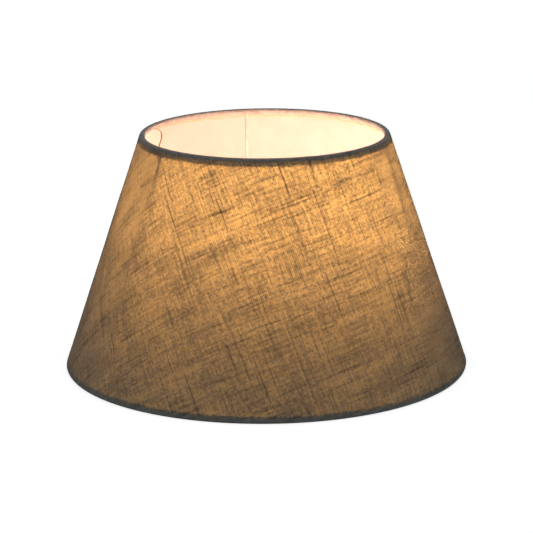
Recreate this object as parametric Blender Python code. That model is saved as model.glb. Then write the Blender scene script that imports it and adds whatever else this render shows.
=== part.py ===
"""Tapered lamp shade: linen over a white liner, rolled over a wire ring at each edge. Three wire arms
hang from the top ring and carry a fitter ring for the lamp holder.

Metres, +Z up. The shade stands on its bottom edge with its centre line on the Z axis, and its front
faces -Y. Azimuths are in degrees, 0 at the front and growing towards +X.
"""

import math

import bmesh
import bpy
from mathutils import Vector

# Driving dimensions, over the outside of the cloth
BOTTOM_DIAMETER = 0.300
TOP_DIAMETER = 0.185
HEIGHT = 0.1765

# Thicknesses, in the order of the layers
RING_WIRE = 0.0030
ARM_WIRE = 0.0025
CLOTH = 0.0005
LINER = 0.0005
GAP = 0.0003          # between pieces that touch

# Rolled edges
HEM_TURN = math.radians(240)        # how far the roll's outer side goes round the wire
HEM_TURN_LAG = math.radians(10)     # how much further its inner side goes
HEM_LEG = 0.0012      # how far the outer side of the roll reaches past the wire's centre
HEM_NECK = 0.0034     # where the roll's inner side comes to lie along the liner
HEM_DEPTH = 0.0065    # where the turned-in edge ends
SLIT_WIDTH = ARM_WIRE + 2 * GAP     # the slits that let the arms through to the top ring
SLIT_OVERRUN = 0.0007               # how far each slit goes on above its arm's end

# Seams
SEAM_AZIMUTH = -113.0
COVER_SEAM_WIDTH = 0.010
COVER_SEAM_THICKNESS = 0.0004
LINER_SEAM_WIDTH = 0.012
LINER_SEAM_THICKNESS = 0.0003

# Frame
ARM_AZIMUTHS = {"left": -52.0, "right": 69.5, "back": 189.0}
ARM_INSET = 0.0012    # from the top wire's centre in to the arms' hanging lengths
ARM_BEND = 0.015      # radius of the bend in towards the fitter ring
ROUND_PULL = 0.5523   # length of a curve's handles for a round quarter turn of radius 1
FITTER_HEIGHT = 0.050
FITTER_HOLE = 0.042
FITTER_DIAMETER = 0.057
FITTER_SHEET = 0.0012
FITTER_RIM = 0.0050
FITTER_BEND = 0.0012  # outer radius of the bend from the flat ring into its rim

# Facets
ROUND_STEPS = 72
FITTER_STEPS = 48
WIRE_STEPS = 10
ARC_STEP = math.radians(45)
CORNER = math.radians(50)    # edges sharper than this stay sharp

LINEN = {"base": (0.36, 0.31, 0.25), "rough": 0.95, "metal": 0.0}
WHITE_SHEET = {"base": (0.88, 0.87, 0.84), "rough": 0.55, "metal": 0.0}
WHITE_PAINT = {"base": (0.82, 0.82, 0.80), "rough": 0.40, "metal": 0.0}

# The wall's section, as (radius, height): a line through the centres of the two ring wires
ROLL_RADIUS = RING_WIRE / 2 + GAP + CLOTH
TOP_WIRE = Vector((TOP_DIAMETER / 2 - ROLL_RADIUS, HEIGHT - ROLL_RADIUS))
BOTTOM_WIRE = Vector((BOTTOM_DIAMETER / 2 - ROLL_RADIUS, ROLL_RADIUS))
SLOPE_LENGTH = (BOTTOM_WIRE - TOP_WIRE).length
DOWN = (BOTTOM_WIRE - TOP_WIRE).normalized()
OUT = Vector((-DOWN.y, DOWN.x))

# How far each layer's faces lie outside that line
COVER_OUTER = ROLL_RADIUS
COVER_INNER = COVER_OUTER - CLOTH
LINER_OUTER = COVER_INNER - GAP
LINER_INNER = LINER_OUTER - LINER
TURN_IN_OUTER = LINER_INNER - GAP
TURN_IN_INNER = TURN_IN_OUTER - CLOTH

COVER_END = HEM_LEG + GAP                  # past each wire's centre
LINER_END = RING_WIRE / 2 + GAP + CLOTH    # past each wire's centre


def clear_scene():
    for thing in list(bpy.data.objects):
        bpy.data.objects.remove(thing, do_unlink=True)


def material(name, look):
    made = bpy.data.materials.new(name)
    made.use_nodes = True
    shader = made.node_tree.nodes["Principled BSDF"]
    shader.inputs["Base Color"].default_value = (*look["base"], 1.0)
    shader.inputs["Roughness"].default_value = look["rough"]
    shader.inputs["Metallic"].default_value = look["metal"]
    return made


def add_object(name, data, finish=None):
    thing = bpy.data.objects.new(name, data)
    bpy.context.scene.collection.objects.link(thing)
    if finish:
        data.materials.append(finish)
    return thing


def wall(out, down):
    """(radius, height) of a point of the wall, from the top wire's centre."""
    return TOP_WIRE + OUT * out + DOWN * down


def around(azimuth, radius, height):
    """The point at an azimuth in degrees."""
    turn = math.radians(azimuth)
    return Vector((radius * math.sin(turn), -radius * math.cos(turn), height))


def settled(thing):
    """The object again with its modifiers or its bevel made real, shaded smooth but for its corners."""
    bpy.context.view_layer.update()
    seen = thing.evaluated_get(bpy.context.evaluated_depsgraph_get())
    mesh = bpy.data.meshes.new_from_object(seen)
    name = thing.name
    bpy.data.objects.remove(thing, do_unlink=True)
    mesh.name = name
    mesh.shade_smooth()
    mesh.set_sharp_from_angle(angle=CORNER)
    return add_object(name, mesh)


def revolve(name, outline, finish, steps=ROUND_STEPS):
    """A closed outline of (radius, height) points, clockwise, turned once about Z."""
    mesh = bpy.data.meshes.new(name)
    points = [(radius, 0.0, height) for radius, height in outline]
    edges = [(i, (i + 1) % len(points)) for i in range(len(points))]
    mesh.from_pydata(points, edges, [])
    thing = add_object(name, mesh, finish)
    turn = thing.modifiers.new("turn", "SCREW")
    turn.axis = "Z"
    turn.steps = turn.render_steps = steps
    turn.use_merge_vertices = True
    turn.merge_threshold = 0.00001
    return settled(thing)


def ring(name, centre, diameter, finish):
    """A wire bent into a circle and welded shut."""
    sides = 8
    outline = []
    for i in range(sides):
        angle = -2 * math.pi * i / sides
        outline.append(centre + Vector((math.cos(angle), math.sin(angle))) * diameter / 2)
    return revolve(name, outline, finish)


def shell(name, outer, inner, end, finish):
    """A conical sheet between two distances from the wall's line, stopping short of both wires."""
    low = SLOPE_LENGTH - end
    outline = [wall(outer, end), wall(outer, low), wall(inner, low), wall(inner, end)]
    return revolve(name, outline, finish)


def arc(centre, radius, upwards, turn):
    """Points round a ring wire, from the wall's outer side over the rolled edge, turning by turn.

    The points between the first and the last lie at multiples of ARC_STEP from level, so that the
    roll's widest and its highest or lowest points are among them.
    """
    sign = 1 if upwards else -1
    lean = math.atan2(OUT.y, OUT.x)
    angles = [lean]
    step = math.floor(lean / ARC_STEP) + (1 if upwards else 0)
    while abs(step * ARC_STEP - lean) < turn - ARC_STEP / 4:
        angles.append(step * ARC_STEP)
        step += sign
    angles.append(lean + sign * turn)
    return [centre + Vector((math.cos(a), math.sin(a))) * radius for a in angles]


def hem(name, centre, towards, finish):
    """Cloth rolled over a ring wire and turned in against the liner. towards points into the wall."""

    def at(out, depth):
        return centre + OUT * out + towards * depth

    upwards = towards == DOWN
    over = arc(centre, ROLL_RADIUS, upwards, HEM_TURN)
    under = arc(centre, ROLL_RADIUS - CLOTH, upwards, HEM_TURN + HEM_TURN_LAG)
    outline = [at(COVER_OUTER, HEM_LEG), *over]
    outline += [at(TURN_IN_INNER, HEM_NECK), at(TURN_IN_INNER, HEM_DEPTH), at(TURN_IN_OUTER, HEM_DEPTH)]
    outline += [at(TURN_IN_OUTER, HEM_NECK - CLOTH), *reversed(under), at(COVER_INNER, HEM_LEG)]
    if upwards:
        outline.reverse()
    return revolve(name, outline, finish)


def wire(name, points, tangents, diameter, finish):
    """A round wire through the points. Each tangent is the length and direction of a point's handles."""
    curve = bpy.data.curves.new(name, "CURVE")
    curve.dimensions = "3D"
    curve.bevel_depth = diameter / 2
    curve.bevel_resolution = 2
    curve.use_fill_caps = True
    curve.resolution_u = WIRE_STEPS
    spline = curve.splines.new("BEZIER")
    spline.bezier_points.add(len(points) - 1)
    for knot, place, tangent in zip(spline.bezier_points, points, tangents):
        knot.co = place
        knot.handle_left_type = knot.handle_right_type = "FREE"
        knot.handle_left, knot.handle_right = place - tangent, place + tangent
    return settled(add_object(name, curve, finish))


def arm(name, azimuth, diameter, overrun, finish):
    """A wire that hangs from the top ring, then turns in to the fitter ring's rim.

    overrun is how far it goes on above its top end, into the ring wire.
    """
    down, inward = Vector((0.0, 0.0, -1.0)), around(azimuth, -1.0, 0.0)
    level = FITTER_HEIGHT - FITTER_RIM / 2
    hanging = TOP_WIRE.x - ARM_INSET
    top = around(azimuth, hanging, TOP_WIRE.y - RING_WIRE / 2 - GAP + overrun)
    corner = around(azimuth, hanging, level)
    rim = around(azimuth, FITTER_DIAMETER / 2 + GAP, level)
    points = [top, corner - down * ARM_BEND, corner + inward * ARM_BEND, rim]
    tangents = [way * ARM_BEND * ROUND_PULL for way in (down, down, inward, inward)]
    return wire(name, points, tangents, diameter, finish)


def fitter(name, finish):
    """A flat pressed ring with a lamp holder's hole and a rim turned down for stiffness."""
    hole, edge = FITTER_HOLE / 2, FITTER_DIAMETER / 2
    top, under = FITTER_HEIGHT, FITTER_HEIGHT - FITTER_SHEET
    inner_edge = edge - FITTER_SHEET
    centre = Vector((edge - FITTER_BEND, top - FITTER_BEND))
    bend = []
    for degrees in (90, 60, 30, 0):
        angle = math.radians(degrees)
        bend.append(centre + Vector((math.cos(angle), math.sin(angle))) * FITTER_BEND)
    low = top - FITTER_RIM
    outline = [(hole, top), *bend, (edge, low), (inner_edge, low), (inner_edge, under), (hole, under)]
    return revolve(name, outline, finish, FITTER_STEPS)


def seam(name, outer, thickness, width, end, finish):
    """A strip of even width down the wall, bent to the wall's curve."""
    rows, columns = 7, 4
    shape = bmesh.new()
    grids = []
    for out in (outer, outer - thickness):
        grid = []
        for i in range(rows):
            radius, height = wall(out, end + (SLOPE_LENGTH - 2 * end) * i / (rows - 1))
            half = math.degrees(width / 2 / radius)
            row = []
            for j in range(columns):
                azimuth = SEAM_AZIMUTH - half + 2 * half * j / (columns - 1)
                row.append(shape.verts.new(around(azimuth, radius, height)))
            grid.append(row)
        grids.append(grid)
    front, back = grids
    for i in range(rows - 1):
        for j in range(columns - 1):
            for grid in grids:
                shape.faces.new((grid[i][j], grid[i + 1][j], grid[i + 1][j + 1], grid[i][j + 1]))
    for i in range(rows - 1):
        for j in (0, columns - 1):
            shape.faces.new((front[i][j], front[i + 1][j], back[i + 1][j], back[i][j]))
    for j in range(columns - 1):
        for i in (0, rows - 1):
            shape.faces.new((front[i][j], front[i][j + 1], back[i][j + 1], back[i][j]))
    bmesh.ops.recalc_face_normals(shape, faces=shape.faces)
    mesh = bpy.data.meshes.new(name)
    shape.to_mesh(mesh)
    shape.free()
    return settled(add_object(name, mesh, finish))


def cut(thing, cutter):
    cutter.hide_render = True
    cutter.display_type = "WIRE"
    slit = thing.modifiers.new(cutter.name, "BOOLEAN")
    slit.operation = "DIFFERENCE"
    slit.solver = "EXACT"
    slit.object = cutter


def build():
    clear_scene()
    linen = material("linen", LINEN)
    white_sheet = material("white_sheet", WHITE_SHEET)
    white_paint = material("white_paint", WHITE_PAINT)

    ring("top_ring", TOP_WIRE, RING_WIRE, white_paint)
    ring("bottom_ring", BOTTOM_WIRE, RING_WIRE, white_paint)
    fitter("fitter_ring", white_paint)

    shell("cover", COVER_OUTER, COVER_INNER, COVER_END, linen)
    shell("liner", LINER_OUTER, LINER_INNER, LINER_END, white_sheet)
    top_hem = hem("top_hem", TOP_WIRE, DOWN, linen)
    hem("bottom_hem", BOTTOM_WIRE, -DOWN, linen)

    for side, azimuth in ARM_AZIMUTHS.items():
        arm("arm_" + side, azimuth, ARM_WIRE, 0.0, white_paint)
        cut(top_hem, arm("slit_" + side, azimuth, SLIT_WIDTH, SLIT_OVERRUN, None))

    seam("cover_seam", COVER_OUTER + GAP + COVER_SEAM_THICKNESS, COVER_SEAM_THICKNESS,
         COVER_SEAM_WIDTH, COVER_END + CLOTH, linen)
    seam("liner_seam", LINER_INNER - GAP, LINER_SEAM_THICKNESS,
         LINER_SEAM_WIDTH, HEM_DEPTH + GAP, white_sheet)


build()
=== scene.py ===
"""The looks of the tapered linen lamp shade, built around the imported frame."""
import math

import bpy
import numpy as np
from mathutils import Euler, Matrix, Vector, noise


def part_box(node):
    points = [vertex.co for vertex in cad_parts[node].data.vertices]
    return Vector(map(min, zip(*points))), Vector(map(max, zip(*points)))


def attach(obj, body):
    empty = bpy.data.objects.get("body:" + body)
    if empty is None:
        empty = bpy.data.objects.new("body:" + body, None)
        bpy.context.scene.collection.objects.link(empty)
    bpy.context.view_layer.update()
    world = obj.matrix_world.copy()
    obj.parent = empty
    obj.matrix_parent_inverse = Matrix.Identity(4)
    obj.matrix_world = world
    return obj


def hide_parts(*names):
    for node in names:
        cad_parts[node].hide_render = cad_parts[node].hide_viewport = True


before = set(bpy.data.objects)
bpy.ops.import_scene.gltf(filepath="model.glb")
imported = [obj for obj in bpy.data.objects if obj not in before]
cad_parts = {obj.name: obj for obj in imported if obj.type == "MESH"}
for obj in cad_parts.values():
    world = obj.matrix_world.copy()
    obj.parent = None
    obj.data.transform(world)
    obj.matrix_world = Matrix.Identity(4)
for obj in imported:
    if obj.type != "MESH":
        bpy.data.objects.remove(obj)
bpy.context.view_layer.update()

# ---------------------------------------------------------------- sizes, in metres

TOP_LOW, TOP_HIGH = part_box("top_ring")
BOTTOM_LOW, BOTTOM_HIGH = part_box("bottom_ring")
WIRE = (TOP_HIGH.z - TOP_LOW.z) / 2                      # radius of the ring wires
TOP_WIRE = Vector((TOP_HIGH.x - WIRE, (TOP_LOW.z + TOP_HIGH.z) / 2))
BOTTOM_WIRE = Vector((BOTTOM_HIGH.x - WIRE, (BOTTOM_LOW.z + BOTTOM_HIGH.z) / 2))
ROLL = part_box("bottom_hem")[1].x - BOTTOM_WIRE.x         # outer radius of the rolled edges
SLOPE = (BOTTOM_WIRE - TOP_WIRE).length
DOWN = (BOTTOM_WIRE - TOP_WIRE).normalized()             # down the wall, as (radius, height)
OUT = Vector((-DOWN.y, DOWN.x))                          # square to the wall
LEAN = math.asin(DOWN.x)                                 # half angle of the cone
APEX = TOP_WIRE.x / DOWN.x                               # slant length above the top wire

CLOTH = 0.0005
LINER_GAP = 0.000012     # from the liner to the cloth in front of it

# The turned-in edge, with depths measured from the wire's centre into the wall
TURN_IN_OUT = 0.0003     # how far it lies outside the line through the wires
TURN_IN_DEPTH = 0.0048   # where its raw edge ends
TURN_IN_WANDER = 0.0007  # how uneven its raw edge is
NECK_DEPTH = 0.0026      # where it leaves the roll and lies flat
TURN_IN_STEPS = (1.0, 0.88, 0.76, 0.64, 0.52, 0.40, 0.28, 0.14)
ROLL_TURN = math.radians(240)
NECK_PULL_IN = 0.0008    # lengths of the handles of the curve from the neck to the roll
NECK_PULL_OUT = 0.0007
NECK_STEPS = (0.25, 0.5, 0.75)
OFF_WALL_LIFT = 0.8      # how much of the ripple the rows off the wall take
INNER_LIFT_SHARE = 0.4   # and how much of that the roll's inner half takes

RIPPLE = 0.00016         # how far the stretched wall stands off a true cone
PUCKER = 0.00010         # the same close to the rolled edges
PUCKER_REACH = 0.004

COLUMNS = 620
WALL_ROWS = 104
ARC_ROWS = 14

# The laps. The liner's free end has its top corner cut round.
LAP_TOP = 0.0010                  # below the top wire's centre
LAP_ROWS = 60
LAP_CORNER = 0.017                # how far down the round corner reaches
LAP_RIM = math.radians(-107)      # where the corner meets the rim
LAP_EDGE = math.radians(-124.5)   # where the free edge runs down
LAP_BACK = 0.040                  # width of the lap
LAP_OVER_HEM = 0.006              # how far down it lies over the turned-in hem
LAP_SETTLE = 0.010                # and how much further until it lies on the liner
LAP_LIFT = 0.0018                 # how far the free edge stands off
LAP_LIFT_REACH = 0.004
LAP_EDGE_LINE = 0.0011                # width of the dark brown line painted along the free edge
COVER_LAP = 0.010
COVER_LAP_TURN = math.radians(7)  # how far round from the lap its threads are taken

WEAVE_TILT = math.radians(21)     # of the steep threads from the wall's slope at the front
THREAD = 0.00128                  # from one thread to the next


def seam_azimuth():
    """Radians from the front towards +X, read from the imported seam."""
    low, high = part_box("cover_seam")
    middle = (low + high) / 2
    return math.atan2(middle.x, -middle.y)


SEAM = seam_azimuth()


# ---------------------------------------------------------------- small helpers

def around(azimuth, radius, height):
    return Vector((radius * math.sin(azimuth), -radius * math.cos(azimuth), height))


def add(name, data):
    thing = bpy.data.objects.new(name, data)
    bpy.context.scene.collection.objects.link(thing)
    return thing


def finish_piece(thing, material, slot, *nodes):
    thing.data.materials.clear()
    thing.data.materials.append(material)
    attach(thing, "root")
    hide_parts(*nodes)


def grid_mesh(name, points, closed=False, **kept):
    """A smooth mesh from rows of points. kept holds numbers or vectors to store at the points."""
    rows, columns = points.shape[:2]
    index = np.arange(rows * columns).reshape(rows, columns)
    if closed:
        index = np.concatenate([index, index[:, :1]], axis=1)
    faces = np.stack([index[:-1, :-1], index[1:, :-1], index[1:, 1:], index[:-1, 1:]], axis=-1)
    mesh = bpy.data.meshes.new(name)
    mesh.from_pydata(points.reshape(-1, 3).tolist(), [], faces.reshape(-1, 4).tolist())
    mesh.shade_smooth()
    for kept_name, values in kept.items():
        is_vector = values.ndim == 3
        layer = mesh.attributes.new(kept_name, "FLOAT_VECTOR" if is_vector else "FLOAT", "POINT")
        numbers = values.reshape(-1).astype(np.float32)
        layer.data.foreach_set("vector" if is_vector else "value", numbers)
    mesh.update()
    return mesh


def flat_place(azimuth, slant):
    """Where a point of the cone lies on the flat cloth, along and across the steep threads."""
    turn = azimuth * math.sin(LEAN)
    x, y = slant * np.sin(turn), -slant * np.cos(turn)
    along = -y * math.cos(WEAVE_TILT) + x * math.sin(WEAVE_TILT)
    across = x * math.cos(WEAVE_TILT) + y * math.sin(WEAVE_TILT)
    return np.stack([along, across, np.zeros_like(along)], axis=-1)


# ---------------------------------------------------------------- the linen

def edge_section():
    """A rolled edge as (out, depth, freedom, glue, fray), from the turned-in raw edge to the wall.

    depth is measured from the wire's centre into the wall, and freedom is how much of the raw edge's
    unevenness each point takes.
    """
    found = [(TURN_IN_OUT + CLOTH, TURN_IN_DEPTH - CLOTH / 2, 1.0, 0.0, 1.0)]
    for share in TURN_IN_STEPS:
        depth = NECK_DEPTH + (TURN_IN_DEPTH - NECK_DEPTH) * share
        found.append((TURN_IN_OUT, depth, share, (1 - share) ** 1.5, share ** 0.8))
    start = Vector((TURN_IN_OUT, NECK_DEPTH))
    end = Vector((ROLL * math.cos(ROLL_TURN), -ROLL * math.sin(ROLL_TURN)))
    tangent = Vector((math.sin(ROLL_TURN), math.cos(ROLL_TURN)))
    knots = [start, start + Vector((0, -NECK_PULL_IN)), end - tangent * NECK_PULL_OUT, end]
    for step in NECK_STEPS:
        a = knots[0].lerp(knots[1], step)
        b = knots[1].lerp(knots[2], step)
        c = knots[2].lerp(knots[3], step)
        point = a.lerp(b, step).lerp(b.lerp(c, step), step)
        found.append((point.x, point.y, 0.0, 1.0, 0.0))
    for i in range(ARC_ROWS + 1):
        angle = ROLL_TURN * (1 - i / ARC_ROWS)
        glue = 1.0 if i < ARC_ROWS else 0.4
        found.append((ROLL * math.cos(angle), -ROLL * math.sin(angle), 0.0, glue, 0.0))
    return found


def linen_section():
    """The whole sheet's section as (out, down, freedom, glue, fray, wall), from raw edge to raw edge."""
    top = [(*row, 0.0) for row in edge_section()]
    middle = [(ROLL, SLOPE * i / WALL_ROWS, 0.0, 0.0, 0.0, 1.0) for i in range(1, WALL_ROWS)]
    bottom = [(out, SLOPE - depth, -free, *rest, 0.0)
              for out, depth, free, *rest in reversed(edge_section())]
    return np.array(top + middle + bottom)


def smooth_noise(azimuth, along, scale_round, scale_along, seed):
    """Noise that closes on itself round the shade."""
    value = np.empty(np.broadcast(azimuth, along).shape)
    for place in np.ndindex(value.shape):
        a, s = azimuth[place], along[place]
        value[place] = noise.noise(
            Vector((math.sin(a) * scale_round, math.cos(a) * scale_round, s * scale_along + seed)))
    return value


def wall_lift(azimuth, down):
    """How far the stretched cloth stands off a true cone."""
    ripple = smooth_noise(azimuth, down, 3.2, 22.0, 1.3) * RIPPLE
    pucker = smooth_noise(azimuth, down, 26.0, 40.0, 5.9) * PUCKER
    near_edge = np.exp(-np.minimum(down, SLOPE - down).clip(0) / PUCKER_REACH)
    return ripple * (1 - near_edge) + pucker * near_edge


def make_linen():
    """The sheet, and its length from raw edge to raw edge."""
    section = linen_section()
    azimuths = SEAM + np.linspace(0, 2 * math.pi, COLUMNS + 1)
    out, down, free, glue, fray, on_wall = section.T
    edge = np.array([noise.noise(Vector((math.sin(a) * 9, math.cos(a) * 9, 3.1)))
                     + 0.5 * noise.noise(Vector((math.sin(a) * 31, math.cos(a) * 31, 8.7)))
                     for a in azimuths])
    down = down[:, None] + free[:, None] * edge[None, :] * TURN_IN_WANDER
    rows = len(section)
    azimuth = np.broadcast_to(azimuths, (rows, COLUMNS + 1))
    lift = wall_lift(azimuth, down)
    lift = np.where(out[:, None] > 0, lift, lift * INNER_LIFT_SHARE)
    scale = 1 + lift / ROLL * np.where(on_wall[:, None] > 0, 1.0, OFF_WALL_LIFT)
    radius = TOP_WIRE.x + OUT.x * out[:, None] * scale + DOWN.x * down
    height = TOP_WIRE.y + OUT.y * out[:, None] * scale + DOWN.y * down
    points = np.stack([radius * np.sin(azimuth), -radius * np.cos(azimuth), height], axis=-1)
    steps = np.linalg.norm(np.diff(section[:, :2], axis=0), axis=1)
    travelled = np.concatenate([[0], np.cumsum(steps)])
    middle = rows // 2
    slant = APEX + section[middle, 1] + travelled - travelled[middle]
    cut = flat_place(azimuth, np.broadcast_to(slant[:, None], azimuth.shape))
    glued = np.broadcast_to(glue[:, None], azimuth.shape)
    frayed = np.broadcast_to(fray[:, None], azimuth.shape)
    mesh = grid_mesh("linen_cover", points, cut=cut, glued=glued, frayed=frayed)
    return add("linen_cover", mesh), travelled[-1]


# ---------------------------------------------------------------- node helpers

class Nodes:
    """Short names for the nodes that the materials use."""

    def __init__(self, tree):
        self.tree = tree
        tree.nodes.clear()

    def node(self, kind, **values):
        made = self.tree.nodes.new(kind)
        for name, value in values.items():
            setattr(made, name, value)
        return made

    def put(self, socket, value):
        if isinstance(value, bpy.types.NodeSocket):
            self.tree.links.new(value, socket)
        elif isinstance(value, (tuple, list)) and len(value) == 3 and socket.type == "RGBA":
            socket.default_value = (*value, 1.0)
        else:
            socket.default_value = value

    def math(self, operation, *values, clamp=False):
        made = self.node("ShaderNodeMath", operation=operation, use_clamp=clamp)
        for socket, value in zip(made.inputs, values):
            self.put(socket, value)
        return made.outputs[0]

    def vector(self, x=0.0, y=0.0, z=0.0):
        made = self.node("ShaderNodeCombineXYZ")
        for socket, value in zip(made.inputs, (x, y, z)):
            self.put(socket, value)
        return made.outputs[0]

    def noise(self, place, scale=1.0, detail=0.0, roughness=0.5):
        made = self.node("ShaderNodeTexNoise", noise_dimensions="3D")
        self.put(made.inputs["Vector"], place)
        made.inputs["Scale"].default_value = scale
        made.inputs["Detail"].default_value = detail
        made.inputs["Roughness"].default_value = roughness
        return made.outputs["Fac"]

    def attribute(self, name, output="Fac"):
        made = self.node("ShaderNodeAttribute", attribute_name=name, attribute_type="GEOMETRY")
        return made.outputs[output]

    def remap(self, value, low, high, to_low=0.0, to_high=1.0):
        made = self.node("ShaderNodeMapRange", interpolation_type="SMOOTHSTEP")
        for name, given in (("Value", value), ("From Min", low), ("From Max", high),
                            ("To Min", to_low), ("To Max", to_high)):
            self.put(made.inputs[name], given)
        return made.outputs[0]

    def mix(self, share, first, second):
        made = self.node("ShaderNodeMix", data_type="RGBA", blend_type="MIX")
        self.put(made.inputs[0], share)
        self.put(made.inputs[6], first)
        self.put(made.inputs[7], second)
        return made.outputs[2]

    def bump(self, height, strength, distance):
        made = self.node("ShaderNodeBump")
        made.inputs["Strength"].default_value = strength
        made.inputs["Distance"].default_value = distance
        self.put(made.inputs["Height"], height)
        return made.outputs[0]

    def shader(self, kind, **inputs):
        made = self.node(kind)
        for name, value in inputs.items():
            self.put(made.inputs[name.replace("_", " ")], value)
        return made.outputs[0]

    def blend(self, share, first, second):
        made = self.node("ShaderNodeMixShader")
        self.put(made.inputs[0], share)
        self.tree.links.new(first, made.inputs[1])
        self.tree.links.new(second, made.inputs[2])
        return made.outputs[0]

    def end(self, shader):
        self.tree.links.new(shader, self.node("ShaderNodeOutputMaterial").inputs["Surface"])


def new_material(name):
    made = bpy.data.materials.new(name)
    made.use_nodes = True
    return made, Nodes(made.node_tree)


# ---------------------------------------------------------------- materials

LINEN_REFLECTS = (0.86, 0.84, 0.81)       # the yarn's own colour
DARK_YARN = (0.30, 0.27, 0.24)            # colour of the thick weft runs
SLUB_COLOUR = (0.25, 0.22, 0.18)          # and of cloth that is full of yarn
FRAYED_COLOUR = (0.95, 0.93, 0.66)        # and of the thin turned-in edge
LINEN_LETS_THROUGH = (1.0, 0.85, 0.28)    # the colour that thin cloth lets through
FRAYED_LETS_THROUGH = (1.0, 1.0, 0.9)
LINEN_SHARE_THROUGH = 0.62
FRAYED_SHARE_THROUGH = 0.72
GLUED_SHARE_LOSS = 0.24
LINEN_FORWARD = 0.80                       # of the light let through, how much keeps to its way
LINEN_SPREAD = 0.95                        # how far that light spreads
LINEN_INDEX = 0.82                         # below 1, so that light leaving at a slant is lost
LINEN_DENSITY = 0.66                       # how fast more yarn takes out more light
GLUE_DENSITY = 1.9
LINEN_THIN = 0.55                          # how much less yarn there is than a full weave has
YARN_SLUB = 0.016                          # length of a thick place in a thread
STREAK = 0.060                             # length of a run of thick threads
FINE_SLUB = THREAD * 1.7                   # length of the smallest thick places
SLUB_SPREAD, STREAK_SPREAD, FINE_SPREAD = 1.6, 1.9, 2.0     # how much each changes a thread
HEAVY_RUN = 0.8                            # what the heaviest runs add
THINNEST = 0.12
DRIFT = 0.0035                             # how far threads stray from straight
DRIFT_SCALE = 32.0
OVER_UNDER = 0.35                          # how much higher a thread is where it crosses over
YARN_LOAD, WEFT_LOAD, WARP_LOAD, BROAD_LOAD, OPEN_LOAD = 0.85, 0.65, 0.50, 1.6, -0.75
LOAD_SOFTNESS = 0.25
LINEN_BUMP = 0.00025


def thread_family(n, along, across, seed):
    """One direction's threads: (index, place across the thread from -1 to 1, thickness)."""
    turns = n.math("DIVIDE", across, THREAD)
    index = n.math("FLOOR", turns)
    place = n.math("MULTIPLY_ADD", n.math("FRACT", turns), 2.0, -1.0)

    def unevenness(length, step, offset, detail=0.0):
        row = n.math("MULTIPLY", index, step)
        return n.noise(n.vector(n.math("DIVIDE", along, length), row, seed + offset), detail=detail)

    own = unevenness(YARN_SLUB, 3.73, 0.0, 2.0)
    run = unevenness(STREAK, 7.31, 40.0, 1.0)
    fine = unevenness(FINE_SLUB, 5.1, 80.0)
    thick = n.math("MULTIPLY_ADD", n.math("SUBTRACT", own, 0.5), SLUB_SPREAD, 1.0)
    thick = n.math("MULTIPLY_ADD", n.math("SUBTRACT", run, 0.5), STREAK_SPREAD, thick)
    thick = n.math("MULTIPLY_ADD", n.math("SUBTRACT", fine, 0.5), FINE_SPREAD, thick)
    thick = n.math("MULTIPLY_ADD", n.remap(run, 0.62, 0.76), HEAVY_RUN, thick)
    return index, place, n.math("MAXIMUM", thick, THINNEST)


def yarn_body(n, place, thick):
    """How much yarn is here: a round section, wider where the thread is thick."""
    inside = n.math("DIVIDE", place, n.math("MULTIPLY_ADD", thick, 0.42, 0.50))
    left = n.math("MAXIMUM", n.math("SUBTRACT", 1.0, n.math("MULTIPLY", inside, inside)), 0.0)
    return n.math("MULTIPLY", n.math("SQRT", left), thick)


def soft_streaks(n, along, across, length, width, seed):
    place = n.vector(n.math("DIVIDE", along, length), n.math("DIVIDE", across, width), seed)
    return n.noise(place, detail=2.0)


def weave(n):
    """How much yarn is here, how high it stands, where its thick weft runs are, and its tint."""
    cut = n.attribute("cut", "Vector")
    parts = n.node("ShaderNodeSeparateXYZ")
    n.put(parts.inputs[0], cut)
    along, across = parts.outputs[0], parts.outputs[1]
    stray_a = n.noise(cut, DRIFT_SCALE, 1.0)
    stray_b = n.noise(n.vector(across, along, 7.0), DRIFT_SCALE, 1.0)
    index_a, place_a, thick_a = thread_family(n, along, n.math("MULTIPLY_ADD", stray_a, DRIFT, across), 0.0)
    index_b, place_b, thick_b = thread_family(n, across, n.math("MULTIPLY_ADD", stray_b, DRIFT, along), 11.0)
    yarn_a, yarn_b = yarn_body(n, place_a, thick_a), yarn_body(n, place_b, thick_b)
    parity = n.math("MODULO", n.math("ABSOLUTE", n.math("ADD", index_a, index_b)), 2.0)
    over = n.math("MULTIPLY_ADD", parity, 2.0, -1.0)
    height_a = n.math("MULTIPLY", yarn_a, n.math("MULTIPLY_ADD", over, OVER_UNDER, 1.0))
    height_b = n.math("MULTIPLY", yarn_b, n.math("MULTIPLY_ADD", over, -OVER_UNDER, 1.0))
    height = n.math("MAXIMUM", height_a, height_b)

    weft = n.remap(soft_streaks(n, across, along, 0.026, 0.0024, 3.0), 0.45, 0.78)
    warp = n.remap(soft_streaks(n, along, across, 0.030, 0.0016, 9.0), 0.50, 0.80)
    broad = soft_streaks(n, across, along, 0.040, 0.014, 15.0)
    open_warp = n.remap(soft_streaks(n, along, across, 0.014, 0.0011, 21.0), 0.52, 0.72)
    load = n.math("MULTIPLY_ADD", n.math("ADD", yarn_a, yarn_b), YARN_LOAD, -LINEN_THIN)
    load = n.math("MULTIPLY_ADD", weft, WEFT_LOAD, load)
    load = n.math("MULTIPLY_ADD", warp, WARP_LOAD, load)
    load = n.math("MULTIPLY_ADD", n.math("SUBTRACT", broad, 0.5), BROAD_LOAD, load)
    load = n.math("MULTIPLY_ADD", open_warp, OPEN_LOAD, load)
    load = n.math("SMOOTH_MAX", load, 0.0, LOAD_SOFTNESS)

    threads = n.vector(n.math("MULTIPLY", index_a, 0.37), n.math("MULTIPLY", index_b, 0.41), 2.0)
    return load, height, weft, n.noise(threads, detail=1.0)


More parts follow.
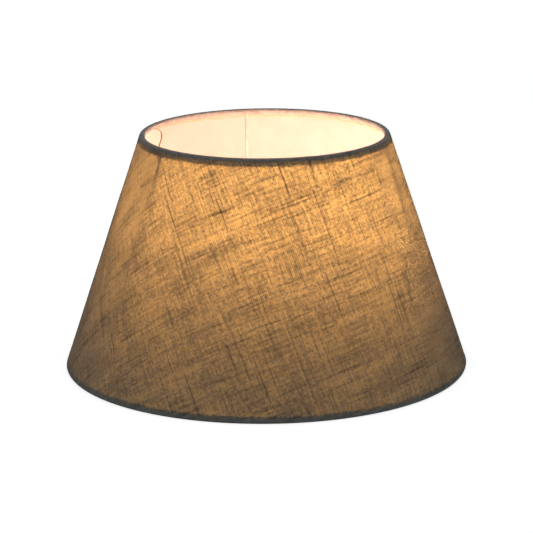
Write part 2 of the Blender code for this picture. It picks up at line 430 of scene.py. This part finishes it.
def linen_material():
    made, n = new_material("slubby linen")
    load, height, weft, tint = weave(n)
    glued, frayed = n.attribute("glued"), n.attribute("frayed")
    load = n.math("MULTIPLY", load, n.math("SUBTRACT", 1.0, frayed))
    dark = n.math("MULTIPLY_ADD", glued, GLUE_DENSITY, n.math("MULTIPLY", load, LINEN_DENSITY))
    left = n.math("EXPONENT", n.math("MULTIPLY", dark, -1.0))
    through = n.mix(left, (0, 0, 0), n.mix(frayed, LINEN_LETS_THROUGH, FRAYED_LETS_THROUGH))

    shaded = tuple(channel * 0.78 for channel in LINEN_REFLECTS)
    surface = n.mix(n.remap(tint, 0.3, 0.7), LINEN_REFLECTS, shaded)
    # Yarn that lies low, in the gaps and under crossing threads, is darkened: painted shade in the weave's
    # hollows.
    surface = n.mix(n.remap(height, 0.2, 1.4, 0.60, 1.0), (0, 0, 0), surface)
    surface = n.mix(n.math("MULTIPLY", weft, 0.25), surface, DARK_YARN)
    surface = n.mix(n.math("MULTIPLY", load, 0.22, clamp=True), surface, SLUB_COLOUR)
    surface = n.mix(frayed, surface, FRAYED_COLOUR)

    front = n.shader("ShaderNodeBsdfDiffuse", Color=surface, Roughness=0.9,
                     Normal=n.bump(height, 0.6, LINEN_BUMP))
    soft = n.shader("ShaderNodeBsdfTranslucent", Color=through)
    forward = n.node("ShaderNodeBsdfRefraction", distribution="GGX")
    n.put(forward.inputs["Color"], through)
    forward.inputs["Roughness"].default_value = LINEN_SPREAD
    forward.inputs["IOR"].default_value = LINEN_INDEX
    keeps = n.math("MULTIPLY", n.math("SUBTRACT", 1.0, frayed), LINEN_FORWARD)
    passing = n.blend(keeps, soft, forward.outputs[0])
    share = n.math("MULTIPLY_ADD", frayed, FRAYED_SHARE_THROUGH - LINEN_SHARE_THROUGH, LINEN_SHARE_THROUGH)
    share = n.math("MULTIPLY_ADD", glued, -GLUED_SHARE_LOSS, share)
    n.end(n.blend(share, front, passing))
    return made


LINER_SHARE_THROUGH = 0.62
LINER_COLOURS = (0.86, 0.84, 0.85), (0.82, 0.80, 0.79)
LINER_LETS_THROUGH = (0.95, 0.94, 0.92), (0.90, 0.89, 0.87)
# Colour of the dark brown line painted along the liner lap's free edge.
EDGE_LINE_COLOUR = (0.17, 0.085, 0.015)
PAINT_COLOURS = (0.46, 0.44, 0.40), (0.38, 0.36, 0.33)
FINE_BUMP = 0.0002


def liner_material():
    made, n = new_material("white liner sheet")
    place = n.node("ShaderNodeTexCoord").outputs["Object"]
    mottle = n.remap(n.noise(place, 60.0, 4.0), 0.3, 0.7)
    # A dark brown line is painted along the lap's free edge, in both what the liner reflects and what it
    # lets through.
    stain = n.attribute("stain")
    colour = n.mix(stain, n.mix(mottle, *LINER_COLOURS), EDGE_LINE_COLOUR)
    inner = n.mix(stain, n.mix(mottle, *LINER_LETS_THROUGH), EDGE_LINE_COLOUR)
    normal = n.bump(n.noise(place, 400.0, 2.0), 0.15, FINE_BUMP)
    front = n.shader("ShaderNodeBsdfDiffuse", Color=colour, Normal=normal)
    back = n.shader("ShaderNodeBsdfTranslucent", Color=inner, Normal=normal)
    n.end(n.blend(LINER_SHARE_THROUGH, front, back))
    return made


def paint_material():
    made, n = new_material("white frame paint")
    place = n.node("ShaderNodeTexCoord").outputs["Object"]
    wear = n.noise(place, 140.0, 5.0, 0.6)
    n.end(n.shader("ShaderNodeBsdfPrincipled",
                   Base_Color=n.mix(n.remap(wear, 0.35, 0.68), *PAINT_COLOURS),
                   Roughness=n.remap(wear, 0.3, 0.7, 0.28, 0.5),
                   Normal=n.bump(n.noise(place, 900.0, 2.0), 0.2, FINE_BUMP)))
    return made


# ---------------------------------------------------------------- the liner and the laps

def patch(name, azimuth, out, down, closed=False, **kept):
    """A sheet on the wall, from grids of places round, out from and down it."""
    radius = TOP_WIRE.x + OUT.x * out + DOWN.x * down
    height = TOP_WIRE.y + OUT.y * out + DOWN.y * down
    points = np.stack([radius * np.sin(azimuth), -radius * np.cos(azimuth), height], axis=-1)
    return add(name, grid_mesh(name, points, closed, **kept))


def make_liner():
    azimuth = SEAM + np.linspace(0, 2 * math.pi, COLUMNS, endpoint=False)[None, :]
    down = (SLOPE * np.arange(1, WALL_ROWS) / WALL_ROWS)[:, None]
    out = ROLL - LINER_GAP + wall_lift(azimuth + 0 * down, down + 0 * azimuth)
    return patch("liner_sheet", azimuth, out, down, closed=True)


def make_liner_lap():
    """The liner's overlapping end, over the top hem, with its top corner cut round."""
    steps = np.linspace(0, 1, LAP_ROWS) ** 2
    down = LAP_TOP + (SLOPE - TURN_IN_DEPTH - LAP_TOP) * steps[:, None]
    corner = np.minimum(down / LAP_CORNER, 1)
    edge = LAP_RIM + (LAP_EDGE - LAP_RIM) * np.sqrt(1 - (1 - corner) ** 2)
    along = np.array([0, 0.0004, 0.0008, 0.0012, *np.linspace(0.002, LAP_BACK, 14)])[None, :]
    azimuth = edge + along / (TOP_WIRE.x + DOWN.x * down)
    on_hem = TURN_IN_OUT - CLOTH
    settled = np.clip((down - LAP_OVER_HEM) / LAP_SETTLE, 0, 1)
    base = on_hem + (ROLL - TURN_IN_OUT) * settled
    roll = -np.sqrt(np.clip((ROLL + CLOTH) ** 2 - down ** 2, 0, None))
    lift = LAP_LIFT * np.exp(-along / LAP_LIFT_REACH)
    out = np.minimum(base, np.where(roll < 0, roll, base)) - lift
    # The dark brown line painted along the free edge.
    stain = np.where(along < LAP_EDGE_LINE, 1.0, 0.0) + 0 * down
    return patch("liner_lap", azimuth, out, down + 0 * along, stain=stain)


def make_cover_lap():
    """The cover's overlapping end, pressed flat on the outside."""
    down = np.linspace(ROLL, SLOPE - ROLL, WALL_ROWS)[:, None]
    inside = np.linspace(-0.48, 0.48, 12)
    along = COVER_LAP * np.array([-0.5, -0.5, *inside, 0.5, 0.5])[None, :]
    raised = np.array([-0.3, 0.6, *np.ones_like(inside), 0.6, -0.3])[None, :] * CLOTH
    azimuth = SEAM + along / (TOP_WIRE.x + DOWN.x * down)
    out = ROLL + raised + wall_lift(azimuth, down + 0 * along)
    cut = flat_place(azimuth + COVER_LAP_TURN, APEX + down + 0 * along)
    return patch("cover_lap", azimuth, out, down + 0 * along, cut=cut)


# ---------------------------------------------------------------- the studio

LAMP = Vector((0.013, 0.0, 0.106))
LAMP_RADIUS = 0.028
CUP_FROM = math.radians(24)              # below the bulb's middle
LAMP_COLOUR = (1.0, 0.54, 0.375)
LAMP_STRENGTH = 1.78
AMBIENT = 0.32
SKY_COLOUR = (0.94, 1.0, 1.01)
SKY_EDGE = 0.25                          # how far above and below level the sky light comes in
FLOOR_SIDE = 6.0
FLOOR_COLOUR = (0.8, 0.8, 0.8)
FLOOR_GLOW = 0.78
AREA_COLOUR = (0.97, 1.0, 0.98)
AREA_SIZE = 1.6
AREA_AIM = Vector((0, 0, 0.08))
AREA_LIGHTS = ("key", (-0.9, -1.6, 1.7), 1.6), ("fill", (1.5, -1.0, 1.2), 0.6)
CUP_CLEARANCE = 0.0006
CUP_STEPS, CUP_RINGS = 40, 12
CAMERA_PLACE = Vector((0.0, -1.8118, 0.5533))
CAMERA_PITCH = math.radians(14.81)
CAMERA_ROLL = math.radians(-0.45)
CAMERA_LENS = 169.7
CAMERA_SHIFT = 0.0015


def make_lamp():
    """The bulb that lights the shade from inside, in an opaque cup so that only its dome shines."""
    light = bpy.data.lights.new("bulb", "POINT")
    light.shadow_soft_size = LAMP_RADIUS
    light.energy = LAMP_STRENGTH
    light.color = LAMP_COLOUR
    light.cycles.use_multiple_importance_sampling = False
    add("bulb", light).location = LAMP
    cup_radius = LAMP_RADIUS + CUP_CLEARANCE
    rings = []
    for i in range(CUP_RINGS):
        angle = -CUP_FROM - (math.pi / 2 - CUP_FROM) * i / (CUP_RINGS - 1)
        radius = cup_radius * math.cos(angle) + 1e-5
        height = cup_radius * math.sin(angle)
        rings.append([around(2 * math.pi * j / CUP_STEPS, radius, height) + LAMP
                      for j in range(CUP_STEPS)])
    cup = add("stage_lamp_cup", grid_mesh("stage_lamp_cup", np.array(rings), closed=True))
    made, n = new_material("lamp cup")
    n.end(n.shader("ShaderNodeBsdfDiffuse", Color=(0.5, 0.5, 0.5)))
    cup.data.materials.append(made)
    cup.visible_camera = False
    cup.visible_glossy = False


def make_studio():
    world = bpy.data.worlds.new("studio")
    bpy.context.scene.world = world
    world.use_nodes = True
    n = Nodes(world.node_tree)
    seen = n.shader("ShaderNodeBackground", Color=(1.0, 1.0, 1.0), Strength=1.0)
    sky = n.node("ShaderNodeSeparateXYZ")
    n.put(sky.inputs[0], n.node("ShaderNodeTexCoord").outputs["Generated"])
    above = n.remap(sky.outputs[2], -SKY_EDGE, SKY_EDGE)
    sky_light = n.math("MULTIPLY", above, AMBIENT)
    lit = n.shader("ShaderNodeBackground", Color=SKY_COLOUR, Strength=sky_light)
    camera_ray = n.node("ShaderNodeLightPath").outputs["Is Camera Ray"]
    both = n.blend(camera_ray, lit, seen)
    n.tree.links.new(both, n.node("ShaderNodeOutputWorld").inputs["Surface"])

    floor_mesh = bpy.data.meshes.new("floor")
    side = FLOOR_SIDE
    corners = [(-side, -side, 0), (side, -side, 0), (side, side, 0), (-side, side, 0)]
    floor_mesh.from_pydata(corners, [], [(0, 1, 2, 3)])
    floor = add("floor", floor_mesh)
    made, n = new_material("pale floor")
    pale = n.shader("ShaderNodeBsdfDiffuse", Color=FLOOR_COLOUR)
    lift = n.shader("ShaderNodeEmission", Color=(1, 1, 1), Strength=FLOOR_GLOW)
    add_node = n.node("ShaderNodeAddShader")
    n.tree.links.new(pale, add_node.inputs[0])
    n.tree.links.new(lift, add_node.inputs[1])
    n.end(add_node.outputs[0])
    floor_mesh.materials.append(made)
    floor.visible_diffuse = floor.visible_glossy = floor.visible_transmission = False

    for name, place, power in AREA_LIGHTS:
        light = bpy.data.lights.new(name, "AREA")
        light.size = AREA_SIZE
        light.energy = power
        light.color = AREA_COLOUR
        lamp = add(name, light)
        lamp.location = place
        lamp.rotation_euler = (AREA_AIM - Vector(place)).to_track_quat("-Z", "Y").to_euler()


def make_camera():
    data = bpy.data.cameras.new("camera")
    data.lens = CAMERA_LENS
    data.sensor_width = 36.0
    data.shift_x = CAMERA_SHIFT
    camera = add("camera", data)
    camera.location = CAMERA_PLACE
    tilt = Euler((math.pi / 2 - CAMERA_PITCH, 0, 0)).to_matrix()
    roll = Euler((0, 0, CAMERA_ROLL)).to_matrix()
    camera.rotation_euler = (tilt @ roll).to_euler()
    bpy.context.scene.camera = camera


# ---------------------------------------------------------------- put together

make_camera()
linen = linen_material()
liner_look = liner_material()
paint = paint_material()

cover, sheet_height = make_linen()
finish_piece(cover, linen, "linen", "cover", "top_hem", "bottom_hem")
cover_lap = make_cover_lap()
finish_piece(cover_lap, linen, "linen", "cover_seam")
liner = make_liner()
finish_piece(liner, liner_look, "liner_sheet", "liner")
liner_lap = make_liner_lap()
finish_piece(liner_lap, liner_look, "liner_sheet", "liner_seam")
for node in ("top_ring", "bottom_ring", "fitter_ring", "arm_left", "arm_right", "arm_back"):
    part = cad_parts[node]
    for place in part.material_slots:
        place.material = paint
# The photo shows no shadow of the back arm on the lining behind it, so the arm throws none here.
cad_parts["arm_back"].visible_shadow = False

make_lamp()
make_studio()
scene = bpy.context.scene
scene.view_settings.view_transform = "Standard"
scene.cycles.use_denoising = True
